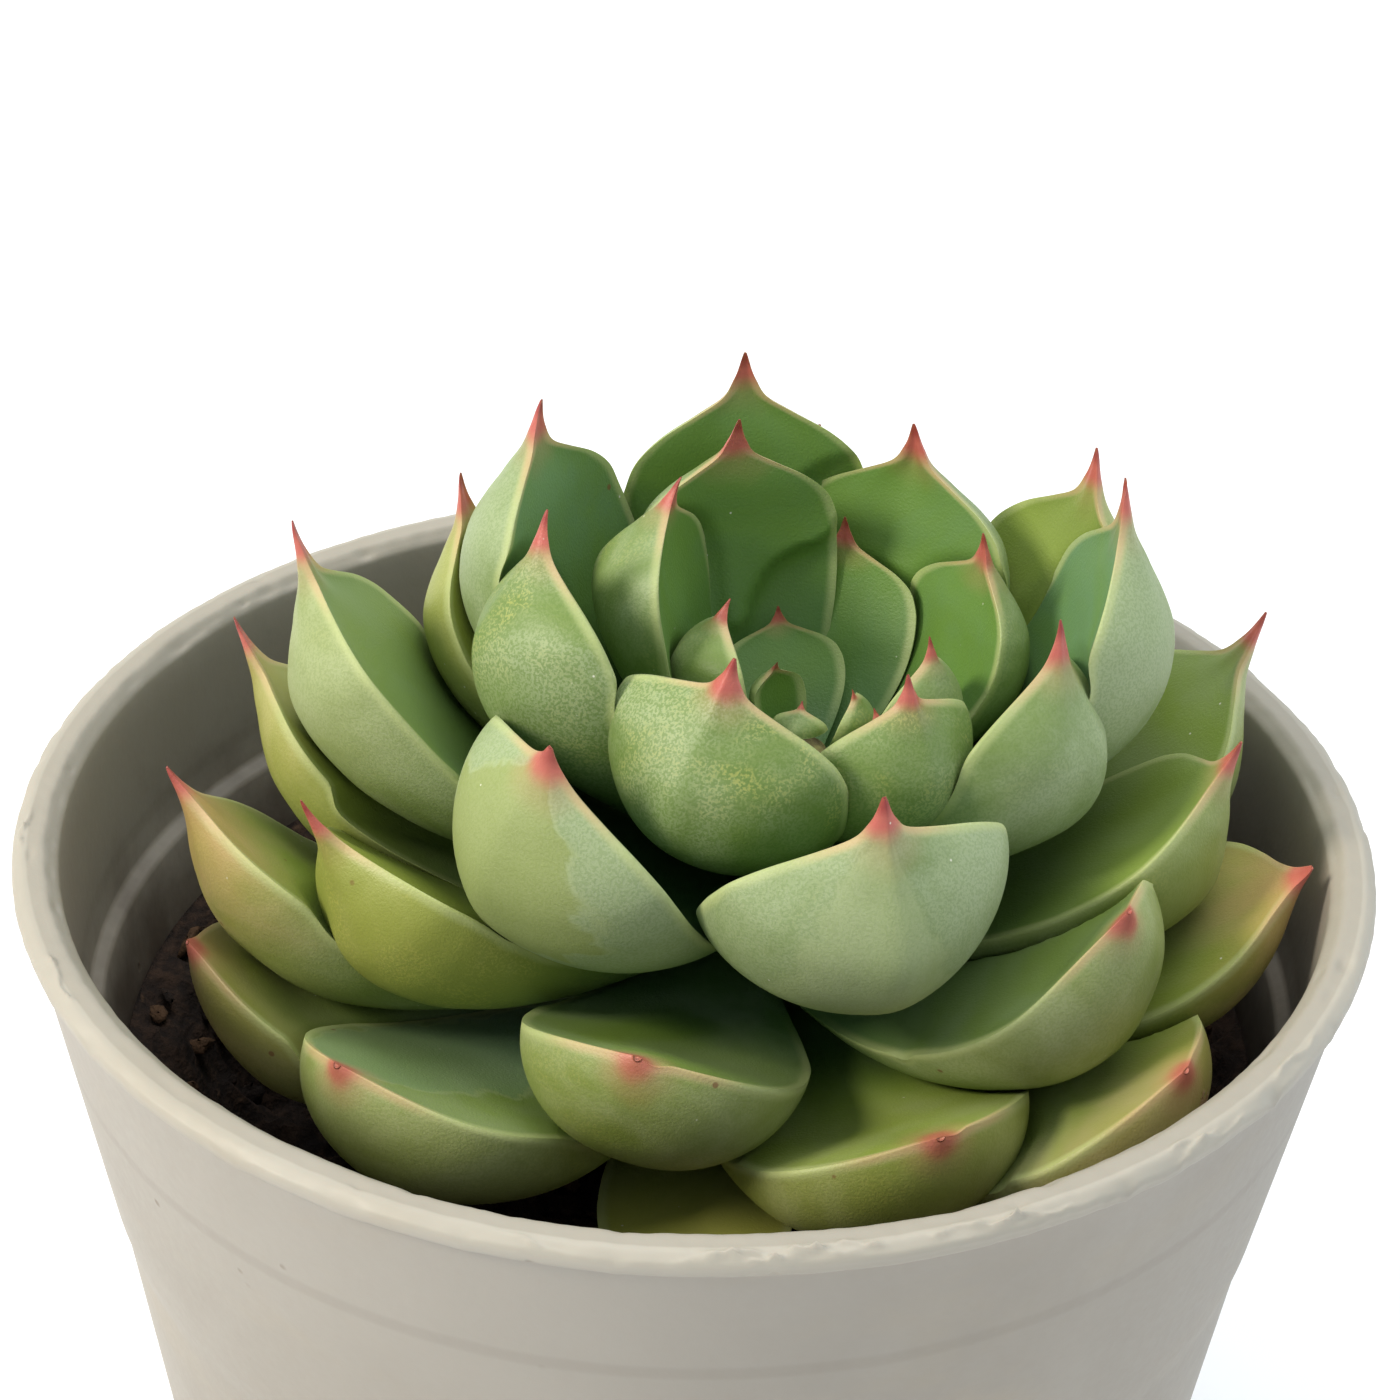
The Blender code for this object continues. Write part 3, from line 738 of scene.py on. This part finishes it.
def wearRim(radius, height, angle):
    # a slightly uneven, chipped top edge with thin strings of moulding flash
    rng = np.random.default_rng(5)
    spot = np.stack(np.broadcast_arrays(radius * np.cos(angle), radius * np.sin(angle)), -1)
    near = smooth(rim - 2.4 * mm, rim - 0.4 * mm, height)
    height = height + near * (0.05 * mm * ripples(spot, 9 * mm, 1)
                              + 0.02 * mm * ripples(spot, 1.6 * mm, 2))
    radius = radius + near * 0.02 * mm * ripples(spot, 2.2 * mm, 3)
    outer = radius.max()
    inner = radius[height > rim - 0.3 * mm].min()
    for _ in range(potShape["chips"]):
        centre = rng.uniform(0, 2 * math.pi)
        where = rng.choice((outer, inner, (outer + inner) / 2), p=(0.5, 0.35, 0.15))
        size = rng.uniform(0.2, 0.6) * mm
        deeper = 1.8 if abs(centre - potShape["chippedSide"]) < 0.4 else 1
        depth = rng.uniform(0.04, 0.22) * mm * deeper
        turn = (angle - centre + math.pi) % (2 * math.pi) - math.pi
        away = np.hypot(turn * outer / rng.uniform(1.0, 3.5), radius - where) / size
        height = height - near * depth * np.exp(-away**2 * 1.2)
    unevenness = 0.7 + 0.5 * ripples(spot, 1.2 * mm, 4)
    for _ in range(potShape["strings"]):
        centre = rng.choice(potShape["stringSides"]) + rng.normal() * 0.3
        reach = rng.uniform(0.02, 0.09)
        turn = (angle - centre + math.pi) % (2 * math.pi) - math.pi
        line = outer - rng.uniform(0.1, 0.9) * mm + 0.25 * mm * np.sin(turn * 60)
        bead = np.exp(-((radius - line) / potShape["stringWidth"]) ** 2)
        bead = bead * smooth(reach, reach * 0.7, np.abs(turn))
        height = height + near * potShape["stringHeight"] * bead * unevenness
    return radius, height


def potMaterial():
    t = Tree("potPlastic", Roughness=0.5, Subsurface_Weight=0.03, Subsurface_Scale=1.0 * mm)
    z = t.add("ShaderNodeSeparateXYZ", {}, [t.place()], 2)
    inside = t.attribute("inside")
    cloudy = t.noise(26, 4.0, 0.6, 0.3)
    fine = t.noise(1300, 3.0, 0.6)
    color = t.mix(cloudy.step(0.3, 0.7), shade(143, 136, 125), shade(153, 147, 137))
    # the rim's top, fading out 2 mm below it, is painted lighter: partly the paler, chipped plastic
    # of its edge, partly a painted highlight where the top faces the light
    high = z.step(rim - 2.0 * mm, rim - 0.2 * mm)
    color = t.mix(high * 0.6, color, shade(182, 176, 160))
    specks = t.cells(230).step(0.09, 0.03) * t.noise(80).step(0.52, 0.62)
    pits = t.cells(95).step(0.032, 0.02) * t.noise(60, 1.0).step(0.5, 0.56)
    stain = t.noise(1.0, 4.0, 0.65, 0.5, at=t.stretched(45, 45, 110)).step(0.52, 0.75)
    fromRing = (z - (rim - potShape["ringDepth"])) / mm + (cloudy - 0.5) * 1.2
    color = t.mix(stain * 0.3, color, shade(158, 146, 124))
    color = t.mix((fromRing * fromRing).step(0.5, 0.0) * 0.22, color, shade(118, 110, 98))
    color = t.mix(specks * 0.75, color, shade(116, 104, 88))
    color = t.mix(pits * 0.85, color, shade(74, 66, 58))
    soilLine = (rim - potShape["soilDepth"] - z) * 90 + (t.noise(120, 4.0, 0.65) - 0.5) * 1.6
    grime = inside * soilLine.step(-0.9, 0.5)
    # the pot's inner faces are painted darker: painted shade in the pot's hollow
    color = t.mix(inside * 0.35, color, shade(134, 126, 112))
    color = t.mix(grime * 0.85, color, shade(62, 48, 38))
    relief = t.bump(fine * 0.6 + cloudy + specks * -1.5 + pits * -3, 0.05 * mm, 0.7)
    return t.finish(color, 0.44 + fine * 0.18, relief)


def buildPot():
    profile = refined(meridian("pot"))
    top = int(profile[:, 1].argmax())
    inside = (np.arange(len(profile)) > top).astype(float)
    marks = {"inside": np.repeat(inside, potShape["turns"])}
    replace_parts(turnedPiece("potSkin", profile, marks), "pot")
    print("pot rows", len(profile))


mixShape = {
    "rings": 90,
    "turns": 300,
    "skirt": 8 * mm,           # how far the surface's side reaches down beside the wall
    "sunk": 0.3 * mm,
    "hole": 12 * mm,           # radius inside which the stem's pocket hides the dish
    "facingUp": 0.55,
    "ripples": ((0.9, 7.0, 21), (0.55, 2.6, 22)),  # height and size in mm, seed
    "grit": (0.3, 1.1, 23),
    "crumbs": 420,
    "crumbSize": (0.35, 1.5),
    "crumbSquash": (1.0, 0.75, 0.5),
    "crumbTones": (0.0, 0.1, 0.35, 0.8),
    "crumbShares": (0.45, 0.3, 0.18, 0.07),
    "ball": (6, 8),            # rows and columns of one crumb's points
}


def mixTop():
    # the dish's height against radius, from the node's upward-facing corners
    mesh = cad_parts["potting_mix"].data
    upward = set()
    for polygon in mesh.polygons:
        if polygon.normal.z > mixShape["facingUp"]:
            upward.update(polygon.vertices)
    rows = nodePoints("potting_mix")[sorted(upward)]
    radius = np.hypot(rows[:, 0], rows[:, 1])
    keep = radius > mixShape["hole"]
    order = np.argsort(radius[keep])
    return radius[keep][order], rows[keep][order, 2]


def mixMaterial():
    t = Tree("pottingMix", Roughness=0.92, Specular_IOR_Level=0.25)
    lump = t.noise(650, 5.0, 0.65)
    fibre = t.noise(1.0, 4.0, 0.6, 0.4, at=t.stretched(500, 500, 1800))
    tone = t.attribute("tone")
    color = t.mix(lump.step(0.38, 0.72), shade(30, 22, 18), shade(62, 46, 36))
    color = t.mix(fibre.step(0.6, 0.75) * 0.6, color, shade(92, 70, 52))
    color = t.mix(tone, color, shade(124, 92, 64))
    return t.finish(color, 0.82 + lump * 0.15, t.bump(lump + fibre * 0.4, 0.7 * mm, 1.0))


def buildMix():
    radiusAt, heightAt = mixTop()
    edge = radiusAt.max()
    ring = np.linspace(1.0, 0.012, mixShape["rings"]) * edge
    angle = np.linspace(0, 2 * math.pi, mixShape["turns"], endpoint=False)
    radius = ring[:, None] + 0 * angle
    spot = np.stack((radius * np.cos(angle), radius * np.sin(angle)), -1)
    rough = sum(height * ripples(spot, size * mm, seed)
                for height, size, seed in mixShape["ripples"])
    height, size, seed = mixShape["grit"]
    rough = (rough + height * np.abs(ripples(spot, size * mm, seed))) * mm
    rough = rough * smooth(edge, edge - 2 * mm, radius)
    height = np.interp(radius, radiusAt, heightAt) + rough - mixShape["sunk"]
    low = heightAt.min() - mixShape["skirt"]
    skirt = np.stack((spot[0, :, 0] * 0.9, spot[0, :, 1] * 0.9, np.full(len(angle), low)), -1)
    top = np.concatenate((spot, height[..., None]), -1)
    points = np.concatenate((skirt[None], top)).reshape(-1, 3)
    rows = mixShape["rings"] + 1
    faces = gridFaces(rows, len(angle), closed=True)[:, ::-1]
    first = np.arange(len(angle))[::-1][None, :]
    last = ((rows - 1) * len(angle) + np.arange(len(angle)))[None, :]
    material = mixMaterial()
    marks = {"tone": np.zeros(len(points))}
    piece = addPiece("mixSurface", points, [faces, first, last], material, marks)
    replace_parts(piece, "potting_mix")
    buildCrumbs(radiusAt, heightAt, material)


def buildCrumbs(radiusAt, heightAt, material):
    # lumpy bits of bark and peat: squashed balls, each turned and tilted, lying on the surface
    rng = np.random.default_rng(31)
    count = mixShape["crumbs"]
    r = radiusAt.max() * np.sqrt(rng.uniform(0.06, 0.93, count))
    a = rng.uniform(0, 2 * math.pi, count)
    height = np.interp(r, radiusAt, heightAt) + 0.3 * mm
    base = np.stack((r * np.cos(a), r * np.sin(a), height), -1)
    size = rng.uniform(*mixShape["crumbSize"], (count, 3)) ** 1.3 * mm
    size = size * np.array(mixShape["crumbSquash"])
    rows, columns = mixShape["ball"]
    each = rows * columns
    lat, lon = np.meshgrid(np.linspace(-1.45, 1.45, rows),
                           np.linspace(0, 2 * math.pi, columns, endpoint=False), indexing="ij")
    ball = np.stack((np.cos(lat) * np.cos(lon), np.cos(lat) * np.sin(lon), np.sin(lat)), -1)
    lumpy = 1 + rng.normal(0, 0.16, (count, each, 1))
    lumps = ball.reshape(-1, 3)[None] * lumpy * size[:, None]
    turn = rng.uniform(0, 2 * math.pi, count)[:, None]
    tilt = rng.normal(0, 0.5, count)[:, None]
    x = lumps[..., 0] * np.cos(tilt) + lumps[..., 2] * np.sin(tilt)
    y = lumps[..., 1]
    z = lumps[..., 2] * np.cos(tilt) - lumps[..., 0] * np.sin(tilt)
    c, s = np.cos(turn), np.sin(turn)
    bits = np.stack((x * c - y * s, x * s + y * c, z), -1) + base[:, None]
    shift = (np.arange(count) * each)[:, None, None]
    quads = gridFaces(rows, columns, closed=True) + shift
    caps = np.stack((np.arange(columns)[::-1], each - columns + np.arange(columns))) + shift
    tones = rng.choice(mixShape["crumbTones"], count, p=mixShape["crumbShares"])
    faces = [quads.reshape(-1, 4), caps.reshape(-1, columns)]
    marks = {"tone": np.repeat(tones, each)}
    addPiece("mixCrumbs", bits.reshape(-1, 3), faces, material, marks)
    print("crumbs", count)


# leaf scars ring the bark: radians of their wave over the length, depth as a share of the radius
stemShape = {"rows": 120, "turns": 48, "scars": 34, "scarDepth": 0.10}


def buildStem():
    t = Tree("stemBark", Roughness=0.85)
    rough = t.noise(700, 4.0, 0.6)
    bark = t.finish(t.mix(rough.step(0.4, 0.65), shade(88, 78, 46), shade(138, 132, 76)), None,
                    t.bump(rough, 0.4 * mm, 1.0))
    points = nodePoints("stem")
    line = stemTop - stemBottom
    unit = line / np.linalg.norm(line)
    offset = points - stemBottom
    along = offset @ unit
    away = np.linalg.norm(offset - along[:, None] * unit, axis=1)
    wide, narrow = away[along < along.mean()].max(), away[along > along.mean()].max()
    rows, turns = stemShape["rows"], stemShape["turns"]
    share = np.linspace(0, 1, rows)[:, None]
    angle = np.linspace(0, 2 * math.pi, turns, endpoint=False)[None, :]
    first = np.cross(unit, (0, 1, 0))
    first /= np.linalg.norm(first)
    second = np.cross(unit, first)
    low, high = along.min(), along.max()
    scars = np.abs(np.sin(share * stemShape["scars"] + 0.5 * np.sin(angle)))
    scars = 1 - stemShape["scarDepth"] * scars
    radius = (wide + (narrow - wide) * share) * scars
    ring = first * np.cos(angle)[..., None] + second * np.sin(angle)[..., None]
    core = stemBottom + unit * (low + (high - low) * share)[..., None]
    points = (core + ring * radius[..., None]).reshape(-1, 3)
    faces = [gridFaces(rows, turns, closed=True), np.arange(turns)[::-1][None, :],
             ((rows - 1) * turns + np.arange(turns))[None, :]]
    piece = addPiece("stemBarkSkin", points, faces, bark)
    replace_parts(piece, "stem")


view = {
    "lens": 77.14,
    "elevation": 31.5,         # degrees
    "distance": 213.6 * mm,
    "lookY": 13.2 * mm,
    "roll": 1.88,              # degrees
    "floorHalf": 3.0,
    "skyColor": (0.84, 0.92, 1.0),
    "skyStrength": 0.72,
}
# place in metres from the middle of the rim, size, power and colour
lamps = {
    "keyLight": ((-0.75, -0.25, 0.55), 0.30, 8.0, (1.0, 0.92, 0.80)),
    "topLight": ((0.1, 0.2, 0.9), 0.8, 5.5, (1.0, 0.99, 0.97)),
    "sideLight": ((0.8, 0.15, 0.1), 0.6, 1.2, (0.85, 0.93, 1.0)),
}


def buildStage():
    size = view["floorHalf"]
    corners = ((-size, -size, foot), (size, -size, foot), (size, size, foot), (-size, size, foot))
    t = Tree("floorPaper", Roughness=0.95, Specular_IOR_Level=0.1)
    floor = bpy.data.objects.new("floor", bpy.data.meshes.new("floor"))
    floor.data.from_pydata(corners, [], [(0, 1, 2, 3)])
    paper = t.mix(t.noise(60, 2.0), (0.93, 0.93, 0.93), (0.96, 0.96, 0.96))
    floor.data.materials.append(t.finish(paper))
    bpy.context.scene.collection.objects.link(floor)
    world = bpy.data.worlds.new("studio")
    world.use_nodes = True
    sky = world.node_tree.nodes["Background"].inputs
    sky["Color"].default_value = (*view["skyColor"], 1)
    sky["Strength"].default_value = view["skyStrength"]
    bpy.context.scene.world = world
    bpy.context.scene.view_settings.view_transform = "Standard"


def buildLights():
    # all lamps are discs turned towards the middle of the rim
    middle = Vector((0, 0, rim))
    for name, (away, size, power, color) in lamps.items():
        lamp = bpy.data.lights.new(name, "AREA")
        lamp.shape = "DISK"
        lamp.size = size
        lamp.energy = power
        lamp.color = color
        light = bpy.data.objects.new(name, lamp)
        bpy.context.scene.collection.objects.link(light)
        light.location = middle + Vector(away)
        light.rotation_euler = (-Vector(away)).to_track_quat("-Z", "Y").to_euler()


def buildCamera():
    tilt, roll = math.radians(view["elevation"]), math.radians(view["roll"])
    back = Vector((0, -math.cos(tilt), math.sin(tilt)))
    right = Vector((1, 0, 0))
    up = back.cross(right)
    turnedRight = right * math.cos(roll) + up * math.sin(roll)
    turnedUp = up * math.cos(roll) - right * math.sin(roll)
    place = Vector((0, view["lookY"], rim)) + back * view["distance"]
    data = bpy.data.cameras.new("camera")
    data.lens = view["lens"]
    data.sensor_width = 36
    data.clip_start = 0.01
    camera = bpy.data.objects.new("camera", data)
    camera.matrix_world = Matrix((
        (turnedRight.x, turnedUp.x, back.x, place.x), (turnedRight.y, turnedUp.y, back.y, place.y),
        (turnedRight.z, turnedUp.z, back.z, place.z), (0, 0, 0, 1)))
    bpy.context.scene.collection.objects.link(camera)
    bpy.context.scene.camera = camera


buildStage()
buildCamera()
buildLights()
print("stage and camera ready")
buildPot()
buildMix()
buildStem()
buildLeaves()
print("leaves ready")
